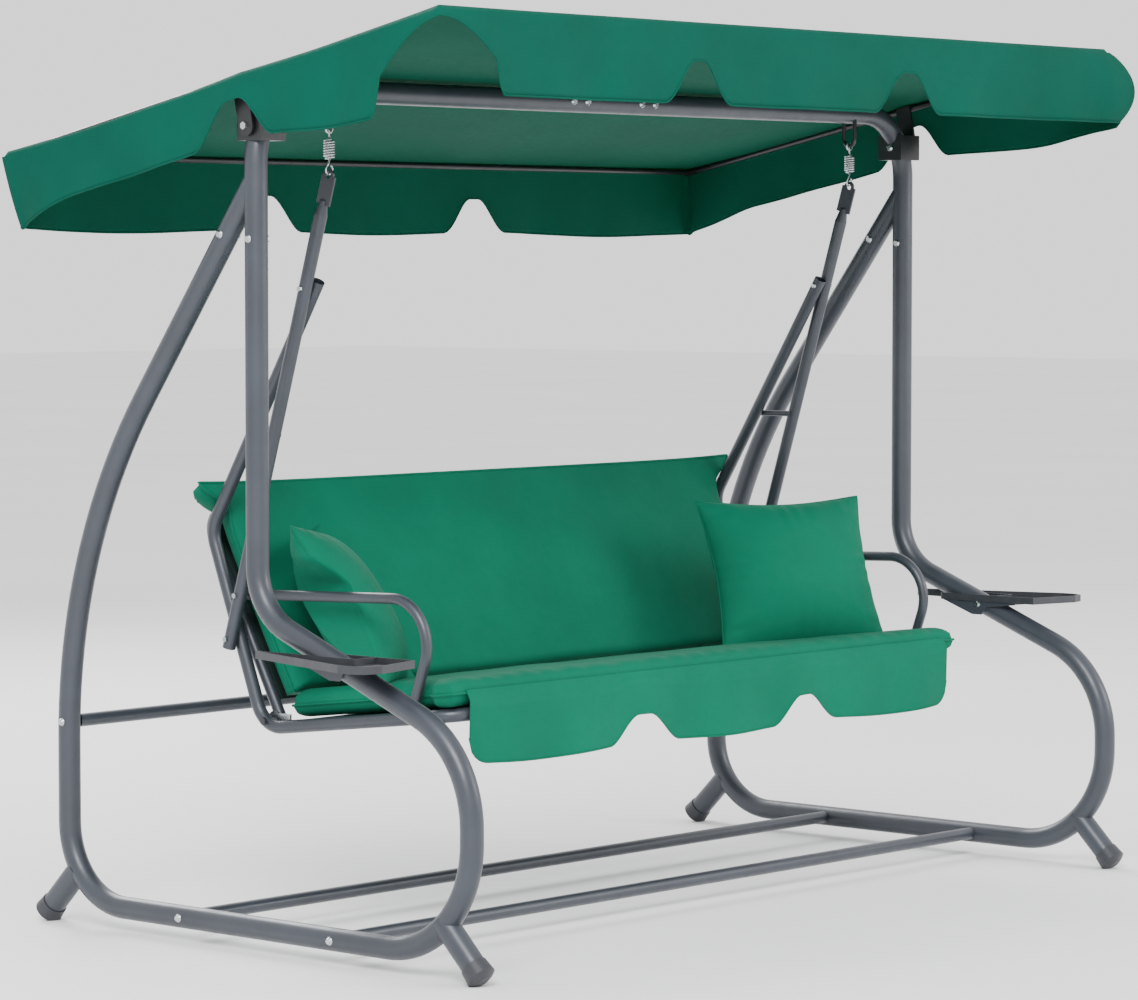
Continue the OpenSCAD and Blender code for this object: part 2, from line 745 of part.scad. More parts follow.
// This pillow lies in the corner of the seat, pressed against the back pad and the armrest
module pillow_left() {
    armrest_side = seat_x - arm_tube / 2 - 3;
    pad_face = backrest_r + 2 + back_pad_t + 4;
    color(fabric) difference() {
        pillow([-600, 78, 618], 42, 31.5);
        translate([-armrest_side - 200, -300, 300]) cube([200, 700, 700]);
        in_backrest_plane() translate([-900, -100, pad_face - 400]) cube([900, 800, 400]);
    }
}

// ---- canopy ----

module in_canopy() {
    translate([0, post_y, canopy_pin_z]) rotate([-canopy_slope, 0, 0]) children();
}

// Hole for the canopy's pivot bolt, through the clamp and the plate
module canopy_pin_hole(side) {
    x_rod(side * 880, side * 1000, post_y, canopy_pin_z, frame_bolt_d + 0.1);
}

// Block on the bend of the top bar that carries the canopy's pivot
module canopy_clamp(side) {
    color(black) difference() {
        translate([side * clamp_x - clamp_w / 2, post_y - 30, canopy_pin_z - 26]) cube([clamp_w, 60, 52]);
        translate([0, post_y, 0]) rotate([90, 0, 0])
            bent_tube([[side * 600, top_bar_z], [side * frame_x, top_bar_z], [side * frame_x, post_seam_z]],
                [corner_r], frame_tube, 0);
        canopy_pin_hole(side);
    }
}

module canopy_plate(side) {
    color(black) difference() {
        translate([side > 0 ? canopy_plate_x : -canopy_plate_x - canopy_plate_t, 0, 0]) in_canopy() {
            rotate([90, 0, 90]) linear_extrude(canopy_plate_t) {
                circle(d = 36);
                translate([-18, 0]) square([36, canopy_roof_h - canopy_cloth / 2 - 3]);
            }
        }
        canopy_pin_hole(side);
    }
}

module canopy_pivot_bolts() {
    inner = clamp_x - clamp_w / 2 - 0.2;
    color(zinc) for (side = [-1, 1]) translate([side * inner, post_y, canopy_pin_z]) rotate([0, side * 90, 0])
        bolt(frame_bolt_d, canopy_plate_x + canopy_plate_t + 0.3 - inner);
}

canopy_arm_h = canopy_roof_h - canopy_cloth / 2 - canopy_arm_d / 2 - 1;

module canopy_arm(side) {
    color(black) in_canopy() y_rod(side * canopy_arm_x, -canopy_front_u + 8, canopy_rear_u - 8,
        canopy_arm_h, canopy_arm_d);
}

module canopy_bars() {
    color(black) in_canopy() difference() {
        for (y = [-canopy_front_u + 18, canopy_rear_u - 18])
            cross_bar(2 * canopy_arm_x, y, canopy_arm_h, canopy_arm_d - 2, 1);
        for (side = [-1, 1])
            y_rod(side * canopy_arm_x, -canopy_front_u, canopy_rear_u, canopy_arm_h, canopy_arm_d);
    }
}

module canopy_roof() {
    color(fabric) in_canopy() translate([-canopy_w / 2, -canopy_front_u, canopy_roof_h - canopy_cloth / 2])
        cube([canopy_w, canopy_front_u + canopy_rear_u, canopy_cloth]);
}

// Outline of a valance of the given length, hanging below y = 0, with notches at the given places
module valance_outline(length, notches, cut_left, cut_right) {
    difference() {
        translate([-length / 2, -valance_h]) square([length, valance_h]);
        for (x = notches) polygon([
            [x - notch_low / 2, -valance_h - 1], [x - notch_top / 2, notch_h - valance_h],
            [x + notch_top / 2, notch_h - valance_h], [x + notch_low / 2, -valance_h - 1]
        ]);
        if (cut_left > 0) translate([-length / 2 - 1, -valance_h - 1])
            square([cut_left + 1, valance_h - cut_left / 3]);
        if (cut_right > 0) translate([length / 2 - cut_right, -valance_h - 1])
            square([cut_right + 1, valance_h - cut_right / 3]);
    }
}

module cross_valance(y, notches, cut) {
    color(fabric) in_canopy() translate([0, y + canopy_cloth / 2, canopy_roof_h - canopy_cloth / 2])
        rotate([90 + canopy_slope, 0, 0]) linear_extrude(canopy_cloth)
            valance_outline(canopy_w - 2 * canopy_cloth - 1, notches, cut, cut);
}

module canopy_front_valance() {
    cross_valance(-canopy_front_u, [-front_notch_x, front_notch_x], corner_cut);
}

module canopy_rear_valance() {
    cross_valance(canopy_rear_u, [-rear_notch_x, rear_notch_x], 0);
}

module side_valance(side) {
    mid = (canopy_rear_u - canopy_front_u) / 2;
    color(fabric) in_canopy()
        translate([side * (canopy_w / 2 - canopy_cloth / 2) - canopy_cloth / 2, mid,
            canopy_roof_h - canopy_cloth / 2])
            rotate([90, 0, 90]) linear_extrude(canopy_cloth)
                valance_outline(canopy_front_u + canopy_rear_u - 2 * canopy_cloth, [0], corner_cut, 40);
}

module centred() {
    translate([0, -middle_y, 0]) children();
}

centred() color(slate) top_bar(-1);  // top_bar_left
centred() color(slate) top_bar(1);  // top_bar_right
centred() top_bar_joiner();
centred() color(slate) front_leg(-1);  // front_leg_left
centred() color(slate) front_leg(1);  // front_leg_right
centred() color(slate) rear_leg(-1);  // rear_leg_left
centred() color(slate) rear_leg(1);  // rear_leg_right
centred() color(slate) base_tube(-1);  // base_tube_left
centred() color(slate) base_tube(1);  // base_tube_right
centred() frame_crossbar(front_bar_y, base_z);  // front_base_crossbar
centred() frame_crossbar(rear_bar_y, base_z);  // rear_base_crossbar
centred() upright_crossbar(leg_rear_y - 2, mid_bar_z);  // rear_mid_crossbar
centred() frame_bolts();
centred() foot_cap(foot_front_y, -45, -1);  // foot_cap_front_left
centred() foot_cap(foot_front_y, -45, 1);  // foot_cap_front_right
centred() foot_cap(foot_rear_y, 45, -1);  // foot_cap_rear_left
centred() foot_cap(foot_rear_y, 45, 1);  // foot_cap_rear_right
centred() tray(-1);  // tray_left
centred() tray(1);  // tray_right
centred() tray_bracket(-1);  // tray_bracket_left
centred() tray_bracket(1);  // tray_bracket_right
centred() tray_bolts();
centred() eye(-1);  // eye_left
centred() eye(1);  // eye_right
centred() spring(-1);  // spring_left
centred() spring(1);  // spring_right
centred() hanger(-1);  // hanger_left
centred() hanger(1);  // hanger_right
centred() side_tube(-1);  // side_tube_left
centred() side_tube(1);  // side_tube_right
centred() hanger_rung(-1);  // hanger_rung_left
centred() hanger_rung(1);  // hanger_rung_right
centred() seat_front_rail();
centred() seat_rear_rail();
centred() armrest(-1);  // armrest_left
centred() armrest(1);  // armrest_right
centred() seat_bolts();
centred() seat_sling();
centred() seat_pad();
centred() recline_bracket(-1);  // recline_bracket_left
centred() recline_bracket(1);  // recline_bracket_right
centred() recline_bolts();
centred() backrest_frame();
centred() backrest_sling();
centred() back_pad();
centred() pillow_left();
centred() pillow_right();
centred() canopy_clamp(-1);  // canopy_clamp_left
centred() canopy_clamp(1);  // canopy_clamp_right
centred() canopy_plate(-1);  // canopy_plate_left
centred() canopy_plate(1);  // canopy_plate_right
centred() canopy_pivot_bolts();
centred() canopy_arm(-1);  // canopy_arm_left
centred() canopy_arm(1);  // canopy_arm_right
centred() canopy_bars();
centred() canopy_roof();
centred() canopy_front_valance();
centred() canopy_rear_valance();
centred() side_valance(-1);  // canopy_left_valance
centred() side_valance(1);  // canopy_right_valance
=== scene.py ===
import json
import math

import bmesh
import bpy
from mathutils import Matrix, Vector, noise


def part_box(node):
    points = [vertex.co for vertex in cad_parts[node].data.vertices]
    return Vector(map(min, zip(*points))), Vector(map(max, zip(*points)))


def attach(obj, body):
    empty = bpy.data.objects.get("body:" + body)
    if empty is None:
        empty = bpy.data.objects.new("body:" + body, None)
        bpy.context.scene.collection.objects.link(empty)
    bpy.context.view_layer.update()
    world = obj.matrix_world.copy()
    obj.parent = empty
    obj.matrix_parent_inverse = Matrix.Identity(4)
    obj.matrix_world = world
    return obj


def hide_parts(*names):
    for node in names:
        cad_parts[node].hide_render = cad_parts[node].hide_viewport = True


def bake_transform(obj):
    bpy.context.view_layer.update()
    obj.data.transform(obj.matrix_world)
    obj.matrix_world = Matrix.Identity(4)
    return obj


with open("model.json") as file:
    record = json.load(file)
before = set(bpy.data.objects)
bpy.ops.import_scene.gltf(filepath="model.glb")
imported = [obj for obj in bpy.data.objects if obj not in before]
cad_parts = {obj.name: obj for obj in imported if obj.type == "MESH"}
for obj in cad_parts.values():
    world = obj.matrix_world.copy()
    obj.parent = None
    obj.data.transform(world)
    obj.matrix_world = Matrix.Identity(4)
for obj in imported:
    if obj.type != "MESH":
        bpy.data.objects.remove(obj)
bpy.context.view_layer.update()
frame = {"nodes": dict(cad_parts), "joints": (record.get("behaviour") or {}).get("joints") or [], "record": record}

JOINTS = {joint["name"]: joint for joint in frame["joints"]}
DOWN = Vector((0, 0, -1))

# ---- places that come from the frame ----


def middle(node):
    """Centre of a CAD node's box."""
    low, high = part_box(node)
    return (low + high) / 2


def plane(origin, slope):
    """Matrix of a plane through origin, tipped about X by slope; its Y runs back and its Z out of it."""
    return Matrix.Translation(origin) @ Matrix.Rotation(slope, 4, "X")


RAIL_R = 0.0125               # radius of the seat's tubes
BACK_R = 0.011                # radius of the backrest's tube

rail_low, rail_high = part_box("seat_front_rail")
rail_front = Vector((0, rail_low.y + RAIL_R, rail_high.z - RAIL_R))
rail_rear = middle("seat_rear_rail")
seat_slope = math.atan2(rail_rear.z - rail_front.z, rail_rear.y - rail_front.y)
SEAT_PLANE = plane(rail_front, seat_slope)

back_low, back_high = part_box("backrest_frame")
hinge = Vector(JOINTS["backrest_recline"]["pos_m"])
back_top = Vector((0, back_high.y - BACK_R, back_high.z - BACK_R))
BACK_LENGTH = (back_top - hinge).length
BACK_PLANE = plane(hinge, math.atan2(back_top.z - hinge.z, back_top.y - hinge.y))

roof_low, roof_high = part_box("canopy_roof")
ROOF_W = roof_high.x
ROOF_FRONT, ROOF_REAR = roof_low.y, roof_high.y
TOP_BAR_Y = middle("top_bar_joiner").y


# ---- meshes ----

SAME_PLACE = 0.00002          # vertices nearer than this are one
SIDES = 8                     # sides of a hem, a piping or a wire


def new_object(name, verts, faces):
    """Smooth-shaded mesh object."""
    mesh = bpy.data.meshes.new(name)
    mesh.from_pydata([tuple(v) for v in verts], [], faces)
    mesh.validate()
    obj = bpy.data.objects.new(name, mesh)
    bpy.context.scene.collection.objects.link(obj)
    for polygon in mesh.polygons:
        polygon.use_smooth = True
    return obj


def grid(columns, rows, point):
    """Vertices and faces of a sheet of columns x rows points, where point(u, v) takes 0..1."""
    verts = [point(i / (columns - 1), j / (rows - 1)) for j in range(rows) for i in range(columns)]
    faces = [
        (j * columns + i, j * columns + i + 1, (j + 1) * columns + i + 1, (j + 1) * columns + i)
        for j in range(rows - 1) for i in range(columns - 1)
    ]
    return verts, faces


def closed_pad(name, columns, rows, top, bottom):
    """Closed form of two sheets, top(u, v) and bottom(u, v), that share their border."""
    upper, up_faces = grid(columns, rows, top)
    lower, low_faces = grid(columns, rows, bottom)
    shift = len(upper)
    faces = up_faces + [tuple(shift + i for i in reversed(f)) for f in low_faces]
    obj = new_object(name, upper + lower, faces)
    bm = bmesh.new()
    bm.from_mesh(obj.data)
    bmesh.ops.remove_doubles(bm, verts=bm.verts, dist=SAME_PLACE)
    bmesh.ops.recalc_face_normals(bm, faces=bm.faces)
    bm.to_mesh(obj.data)
    bm.free()
    return obj


def sweep(name, points, radius, closed=False):
    """Round bar along the points, closed into a ring or capped at both ends."""
    count = len(points)
    verts, faces = [], []
    side = None
    for i, p in enumerate(points):
        before = points[i - 1] if i or closed else p
        after = points[(i + 1) % count] if i < count - 1 or closed else p
        along = (after - before).normalized()
        if side is None:
            side = along.orthogonal().normalized()
        side = (side - along * side.dot(along)).normalized()
        up = along.cross(side)
        for k in range(SIDES):
            a = 2 * math.pi * k / SIDES
            verts.append(p + (side * math.cos(a) + up * math.sin(a)) * radius)
    rings = count if closed else count - 1
    for i in range(rings):
        this, following = i * SIDES, (i + 1) % count * SIDES
        for k in range(SIDES):
            j = (k + 1) % SIDES
            faces.append((this + k, this + j, following + j, following + k))
    if not closed:
        faces.append(tuple(reversed(range(SIDES))))
        faces.append(tuple(range((count - 1) * SIDES, count * SIDES)))
    return new_object(name, verts, faces)


def thicken(obj, thickness):
    """Gives a sheet its thickness, half to each side."""
    modifier = obj.modifiers.new("thickness", "SOLIDIFY")
    modifier.thickness = thickness
    modifier.offset = 0


def smooth_step(x, low, high):
    """0 below low, 1 above high and an S-curve between them."""
    t = min(max((x - low) / (high - low), 0), 1)
    return t * t * (3 - 2 * t)


def ripple(p, size, seed):
    """Smooth noise of about -1 to 1, with features of the given size."""
    return noise.noise(Vector((p[0] / size + seed, p[1] / size, p[2] / size)))


# ---- materials ----

NOISE_RANGE = (0.3, 0.7)      # most of a noise texture's values lie here


class Nodes:
    """Short names for building a material's node tree."""

    def __init__(self, name):
        self.material = bpy.data.materials.new(name)
        self.material.use_nodes = True
        self.tree = self.material.node_tree
        self.shader = self.tree.nodes["Principled BSDF"]
        self.output = self.tree.nodes["Material Output"]
        self.place = self.add("ShaderNodeTexCoord").outputs["Object"]

    def add(self, kind, **values):
        node = self.tree.nodes.new(kind)
        for key, value in values.items():
            setattr(node, key, value)
        return node

    def link(self, a, b):
        self.tree.links.new(a, b)

    def set(self, **values):
        for key, value in values.items():
            self.shader.inputs[key.replace("_", " ")].default_value = value

    def noise(self, scale, detail=3.0):
        """Noise whose features are about 1 / scale metres wide."""
        node = self.add("ShaderNodeTexNoise")
        node.inputs["Scale"].default_value = scale
        node.inputs["Detail"].default_value = detail
        node.inputs["Roughness"].default_value = 0.55
        self.link(self.place, node.inputs["Vector"])
        return node.outputs["Fac"]

    def wave(self, axis, period):
        """Bands across one axis, the given period in metres apart."""
        node = self.add("ShaderNodeTexWave", wave_type="BANDS", bands_direction=axis)
        node.inputs["Scale"].default_value = 2 * math.pi / (20 * period)
        node.inputs["Distortion"].default_value = 0.6
        node.inputs["Detail"].default_value = 1.0
        self.link(self.place, node.inputs["Vector"])
        return node.outputs["Fac"]

    def ramp(self, source, low, high):
        """Colour from low to high over the range that most of a noise lies in."""
        node = self.add("ShaderNodeValToRGB")
        for element, place, colour in zip(node.color_ramp.elements, NOISE_RANGE, (low, high)):
            element.position = place
            element.color = (*colour, 1)
        self.link(source, node.inputs["Fac"])
        return node.outputs["Color"]

    def maths(self, operation, a, b):
        node = self.add("ShaderNodeMath", operation=operation)
        for socket, value in zip(node.inputs, (a, b)):
            if isinstance(value, (int, float)):
                socket.default_value = value
            else:
                self.link(value, socket)
        return node.outputs["Value"]

    def spread(self, source, low, high):
        """Number from low to high over the same range."""
        node = self.add("ShaderNodeMapRange")
        node.inputs["From Min"].default_value = NOISE_RANGE[0]
        node.inputs["From Max"].default_value = NOISE_RANGE[1]
        node.inputs["To Min"].default_value = low
        node.inputs["To Max"].default_value = high
        self.link(source, node.inputs["Value"])
        return node.outputs["Result"]

    def bump(self, height, distance, strength, below=None):
        """Bump of the given depth in metres, on top of the bump below."""
        node = self.add("ShaderNodeBump")
        node.inputs["Distance"].default_value = distance
        node.inputs["Strength"].default_value = strength
        self.link(height, node.inputs["Height"])
        if below is not None:
            self.link(below, node.inputs["Normal"])
        return node.outputs["Normal"]


def tone(colour, factor):
    return tuple(c * factor for c in colour)


def coated_steel(name, colour, roughness):
    """Powder coat: fine orange peel, faint cloudiness."""
    n = Nodes(name)
    n.link(n.ramp(n.noise(9), tone(colour, 0.88), tone(colour, 1.12)), n.shader.inputs["Base Color"])
    n.link(n.spread(n.noise(40), roughness - 0.05, roughness + 0.07), n.shader.inputs["Roughness"])
    n.link(n.bump(n.noise(900, 2), 0.00025, 0.5), n.shader.inputs["Normal"])
    n.set(Metallic=0.25, Coat_Weight=0.25, Coat_Roughness=0.25)
    return n.material


def bright_zinc(name, colour):
    """Zinc plate with a fine spangle."""
    n = Nodes(name)
    n.link(n.ramp(n.noise(120), tone(colour, 0.78), colour), n.shader.inputs["Base Color"])
    n.link(n.spread(n.noise(200), 0.2, 0.36), n.shader.inputs["Roughness"])
    n.link(n.bump(n.noise(1500, 2), 0.0001, 0.4), n.shader.inputs["Normal"])
    n.set(Metallic=1.0)
    return n.material


def moulded_plastic(name, colour, roughness):
    """Plastic with the fine grain of its mould."""
    n = Nodes(name)
    n.link(n.ramp(n.noise(30), tone(colour, 0.9), tone(colour, 1.2)), n.shader.inputs["Base Color"])
    n.link(n.spread(n.noise(60), roughness - 0.05, roughness + 0.06), n.shader.inputs["Roughness"])
    n.link(n.bump(n.noise(1200, 2), 0.0003, 0.6), n.shader.inputs["Normal"])
    n.set(Specular_IOR_Level=0.45)
    return n.material


def woven_cloth(name, colour, roughness, thread, sheen, through=None):
    """Plain weave with faint creases; through is the colour of light that shines through it."""
    n = Nodes(name)
    shade = n.ramp(n.noise(5, 4), tone(colour, 0.9), tone(colour, 1.08))
    n.link(shade, n.shader.inputs["Base Color"])
    n.link(n.spread(n.noise(70), roughness - 0.05, roughness + 0.05), n.shader.inputs["Roughness"])
    threads = n.maths("ADD", n.maths("ADD", n.wave("X", thread), n.wave("Y", thread)), n.wave("Z", thread))
    creases = n.bump(n.noise(26, 4), 0.0012, 0.5)
    n.link(n.bump(threads, 0.00016, 0.35, creases), n.shader.inputs["Normal"])
    n.set(Sheen_Weight=sheen, Sheen_Roughness=0.45, Specular_IOR_Level=0.12)
    n.set(Sheen_Tint=(0.55, 0.95, 0.8, 1))
    if through:
        light = n.add("ShaderNodeBsdfTranslucent")
        light.inputs["Color"].default_value = (*through, 1)
        mix = n.add("ShaderNodeMixShader")
        mix.inputs["Fac"].default_value = 0.38
        n.link(n.shader.outputs["BSDF"], mix.inputs[1])
        n.link(light.outputs["BSDF"], mix.inputs[2])
        n.link(mix.outputs["Shader"], n.output.inputs["Surface"])
    return n.material


MATERIALS = {
    "slate_frame": coated_steel("slate_powder_coat", (0.036, 0.042, 0.055), 0.42),
    "black_metal": coated_steel("black_paint", (0.012, 0.013, 0.015), 0.38),
    "zinc": bright_zinc("zinc_plate", (0.62, 0.64, 0.66)),
    "black_plastic": moulded_plastic("moulded_black", (0.026, 0.028, 0.034), 0.42),
    "sling_mesh": woven_cloth("sling_cloth", (0.014, 0.03, 0.026), 0.7, 0.003, 0.1),
    "cushion_fabric": woven_cloth("cushion_cloth", (0.0, 0.120, 0.066), 0.74, 0.0016, 0.02),
    "canopy_fabric": woven_cloth("canopy_cloth", (0.0, 0.105, 0.070), 0.72, 0.0016, 0.02, (0.0, 0.16, 0.012)),
}


def dress(obj, slot):
    """Gives a new piece the material of the given record slot."""
    obj.data.materials.clear()
    obj.data.materials.append(MATERIALS[slot])


for part in frame["record"]["subparts"]:
    cad_object = frame["nodes"][part["node"]]
    for material_slot in cad_object.material_slots:
        material_slot.material = MATERIALS[part["material_slot"]]

# ---- canopy: one sheet over the bars, with four hanging valances ----

CLOTH = 0.0012
CANOPY_HEM_R = 0.0019
COLUMNS, ROWS, VALANCE_ROWS = 249, 143, 16
ON_EDGE = 1e-4                # a point nearer to the roof's edge than this is on it
ROOF_HALF = 0.002             # half the thickness of the CAD roof
ROOF_ROLL = 0.012             # radius of the roof's edge
SAG_FRONT, SAG_REAR = 0.010, 0.016
FRONT_DEPTH, REAR_DEPTH, SIDE_DEPTH = 0.142, 0.136, 0.108
SIDE_MORE_FRONT, SIDE_MORE_REAR = 0.042, 0.028  # the side valances grow by this towards their ends
FRONT_NOTCH_H, REAR_NOTCH_H = 0.078, 0.070
SIDE_NOTCH_TOP = 0.036        # depth that is left of a side valance at the post
FRONT_NOTCH, REAR_NOTCH, SIDE_NOTCH_Y = 0.315, 0.305, TOP_BAR_Y + 0.01
NOTCH = (0.014, 0.098)        # half width of a notch at its top and at its bottom
CORNER_CUT = 0.135            # length of the low arc beside the open corner, front left
CORNER_END = 0.014            # and of the nearly upright end after it
CORNER_LOW, CORNER_RISE = 0.010, 0.068
CORNER_TURN = 0.05            # the valances turn from one side to the next over this length
CORNER_BULGE = 0.050          # the closed corner, front right, stands out by this
REAR_PULL = 0.034             # the rear corners' hems are drawn in by this


def roof_z(y):
    """Height of the flat roof, without its sag."""
    front_z, rear_z = roof_high.z - ROOF_HALF, roof_low.z + ROOF_HALF
    return front_z + (rear_z - front_z) * (y - ROOF_FRONT) / (ROOF_REAR - ROOF_FRONT)


def sag(x, y):
    """How far the roof hangs below the plane of its bars."""
    if y < TOP_BAR_Y:
        start, end, depth = ROOF_FRONT, TOP_BAR_Y, SAG_FRONT
    else:
        start, end, depth = TOP_BAR_Y, ROOF_REAR, SAG_REAR
    share = (y - start) / (end - start)
    across = 1 - (x / ROOF_W) ** 6
    tight = math.sin(math.pi * min(max(share, 0), 1)) ** 0.8
    folds = 0.0025 * ripple((x, y, 0), 0.22, 3.0) * tight
    return depth * tight * (0.35 + 0.65 * across) + folds


def roof_point(u, v):
    """Point of the roof, rolled down along its edges."""
    x = -ROOF_W + 2 * ROOF_W * u
    y = ROOF_FRONT + (ROOF_REAR - ROOF_FRONT) * v
    edge = min(ROOF_W - abs(x), y - ROOF_FRONT, ROOF_REAR - y)
    drop = ROOF_ROLL - math.sqrt(max(ROOF_ROLL ** 2 - max(ROOF_ROLL - edge, 0) ** 2, 0))
    return Vector((x, y, roof_z(y) - sag(x, y) - drop * 0.8))


def notch_share(distance):
    """1 in the middle of a notch, 0 outside it."""
    return 1 - smooth_step(abs(distance), *NOTCH)


def notch_pair(x, place, scale=1):
    """The same for two notches, at place and at -place; a scale below 1 widens them."""
    return max(notch_share((x - place) * scale), notch_share((x + place) * scale))


def corner_depth(distance, full):
    """Depth of a valance near an open corner: a low arc, then a nearly upright end."""
    arc = CORNER_LOW + CORNER_RISE * min(distance / CORNER_CUT, 1) ** 2.0
    return arc + (full - arc) * smooth_step(distance, CORNER_CUT, CORNER_CUT + CORNER_END)


def valance_depth(x, y):
    """Depth of the valance that hangs from the roof's edge at x, y."""
    if abs(y - ROOF_FRONT) < ON_EDGE:
        depth = FRONT_DEPTH - FRONT_NOTCH_H * notch_pair(x, FRONT_NOTCH)
        return min(depth, corner_depth(ROOF_W + x, FRONT_DEPTH))
    if abs(y - ROOF_REAR) < ON_EDGE:
        full = REAR_DEPTH + 0.004 * math.cos(x * 9)
        return full - REAR_NOTCH_H * notch_pair(x, REAR_NOTCH)
    more_front = SIDE_MORE_FRONT * smooth_step(-y, 0.02, 0.40)
    more_rear = SIDE_MORE_REAR * smooth_step(y, 0.40, 0.60)
    full = SIDE_DEPTH + more_front + more_rear
    depth = full - (full - SIDE_NOTCH_TOP) * notch_share(y - SIDE_NOTCH_Y)
    return min(depth, corner_depth(y - ROOF_FRONT, full)) if x < 0 else depth


def outward(x, y):
    """Direction that a valance faces, turned smoothly round each corner."""
    to_side = 1 - smooth_step(ROOF_W - abs(x), 0, CORNER_TURN)
    to_end = 1 - smooth_step(min(y - ROOF_FRONT, ROOF_REAR - y), 0, CORNER_TURN)
    end = -1 if y < (ROOF_FRONT + ROOF_REAR) / 2 else 1
    return Vector((to_side * math.copysign(1, x), to_end * end, 0)).normalized()


def valance_point(edge, t):
    """Point of the valance below a point of the roof's edge; t is 0 at the roof and 1 at the hem."""
    depth = valance_depth(edge.x, edge.y)
    along = edge.x if abs(abs(edge.x) - ROOF_W) > ON_EDGE else edge.y
    rear_corner = math.exp(-((ROOF_W - abs(edge.x)) + (ROOF_REAR - edge.y)) / 0.12)
    closed_corner = math.exp(-((ROOF_W - edge.x) + (edge.y - ROOF_FRONT)) / 0.09)
    swing = 0.005 * math.sin(along * 15 + 1.0) + 0.003 * math.sin(along * 37 + 2.0)
    out = 0.004 * math.sin(math.pi * t * 0.5) + swing * t * t * (depth / 0.14)
    out += CORNER_BULGE * closed_corner * math.sin(math.pi * min(t * 0.9, 1)) ** 0.8
    out -= REAR_PULL * rear_corner * t
    return edge + outward(edge.x, edge.y) * out + DOWN * depth * t


def build_canopy():
    """The cover, whose valances go on from the roof's border, and the hem along their lower edge."""
    verts, faces = grid(COLUMNS, ROWS, roof_point)
    loop = list(range(COLUMNS))
    loop += [j * COLUMNS + COLUMNS - 1 for j in range(1, ROWS)]
    loop += [(ROWS - 1) * COLUMNS + i for i in range(COLUMNS - 2, -1, -1)]
    loop += [j * COLUMNS for j in range(ROWS - 2, 0, -1)]
    upper = loop
    for row in range(1, VALANCE_ROWS + 1):
        lower = list(range(len(verts), len(verts) + len(loop)))
        verts += [valance_point(verts[i], row / VALANCE_ROWS) for i in loop]
        for i in range(len(loop)):
            j = (i + 1) % len(loop)
            faces.append((upper[j], upper[i], lower[i], lower[j]))
        upper = lower
    cover = new_object("canopy_cover", verts, faces)
    thicken(cover, CLOTH)
    hem = sweep("canopy_hem", [verts[i] for i in lower], CANOPY_HEM_R, closed=True)
    return cover, hem


canopy, canopy_hem = build_canopy()
for piece in (canopy, canopy_hem):
    dress(piece, "canopy_fabric")
    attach(piece, "canopy")
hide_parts("canopy_roof", "canopy_front_valance", "canopy_rear_valance",
            "canopy_left_valance", "canopy_right_valance")

# ---- seat pad with its hanging front flap ----

SEAT_PAD_FRONT, SEAT_PAD_REAR = -0.008, 0.428
SEAT_PAD_LOW, SEAT_PAD_HIGH = 0.0142, 0.0715
SEAT_SEAM = SEAT_PAD_LOW + 0.024
SEAT_EDGE = 0.040             # radius of the pad's rounded edge
SEAT_CROWN = 0.006
REAR_EDGE = 2                 # the rear edge is this much tighter
PIPING_R = 0.0026


def seat_half_width(v):
    """Half width of the pad, wider in front where it lies over the rail."""
    return 0.722 + 0.028 * (1 - smooth_step(v, 0.10, 0.18))


def pad_share(distance, radius, power=2.4):
    """Rounded edge of a pad: 0 at the border, 1 past the radius."""
    inner = 1 - min(distance / radius, 1)
    return max(1 - inner ** power, 0) ** (1 / power)


def seat_pad_sheet(side):
    """Upper (1) or lower (-1) face of the seat pad."""
    def point(u, v):
        half = seat_half_width(v)
        x = (2 * u - 1) * half
        depth = SEAT_PAD_REAR - SEAT_PAD_FRONT
        y = SEAT_PAD_FRONT + depth * v
        distance = min(half - abs(x), depth * v, depth * (1 - v) * REAR_EDGE)
        share = pad_share(distance, SEAT_EDGE)
        if side < 0:
            return SEAT_PLANE @ Vector((x, y, SEAT_SEAM - (SEAT_SEAM - SEAT_PAD_LOW) * share))
        crown = SEAT_CROWN * math.sin(math.pi * v) * (1 - (x / half) ** 4)
        gather = 0.0022 * math.sin(x * 95 + 2 * math.sin(x * 11)) * math.exp(-distance / 0.03) * share
        wave = 0.0022 * ripple((x, y, 0), 0.11, 7.0) * share
        height = SEAT_PAD_HIGH - SEAT_CROWN + crown + gather + wave
        return SEAT_PLANE @ Vector((x, y, SEAT_SEAM + (height - SEAT_SEAM) * share))
    return point


seat_pad = closed_pad("seat_cushion", 301, 97, seat_pad_sheet(1), seat_pad_sheet(-1))

FLAP_HALF = 0.712
FLAP_CLOTH = 0.0016
FLAP_NOTCH, FLAP_NOTCH_H = 0.240, 0.052
FLAP_HEM_Z = 0.343
FLAP_HEM_R = 0.0018
FLAP_CORNER = 0.045           # radius of the flap's lower corners
flap_top = SEAT_PLANE @ Vector((0, SEAT_PAD_FRONT - 0.001, SEAT_PAD_LOW + 0.030))


def flap_depth(x):
    """Depth of the flap at x, less at its two notches and its rounded corners."""
    full = flap_top.z - FLAP_HEM_Z + 0.004 * math.cos(x * 12)
    end = (FLAP_HALF - abs(x)) / FLAP_CORNER
    rounding = FLAP_CORNER * (1 - math.sqrt(max(1 - (1 - min(end, 1)) ** 2, 0)))
    return full - FLAP_NOTCH_H * notch_pair(x, FLAP_NOTCH, 0.95) - rounding


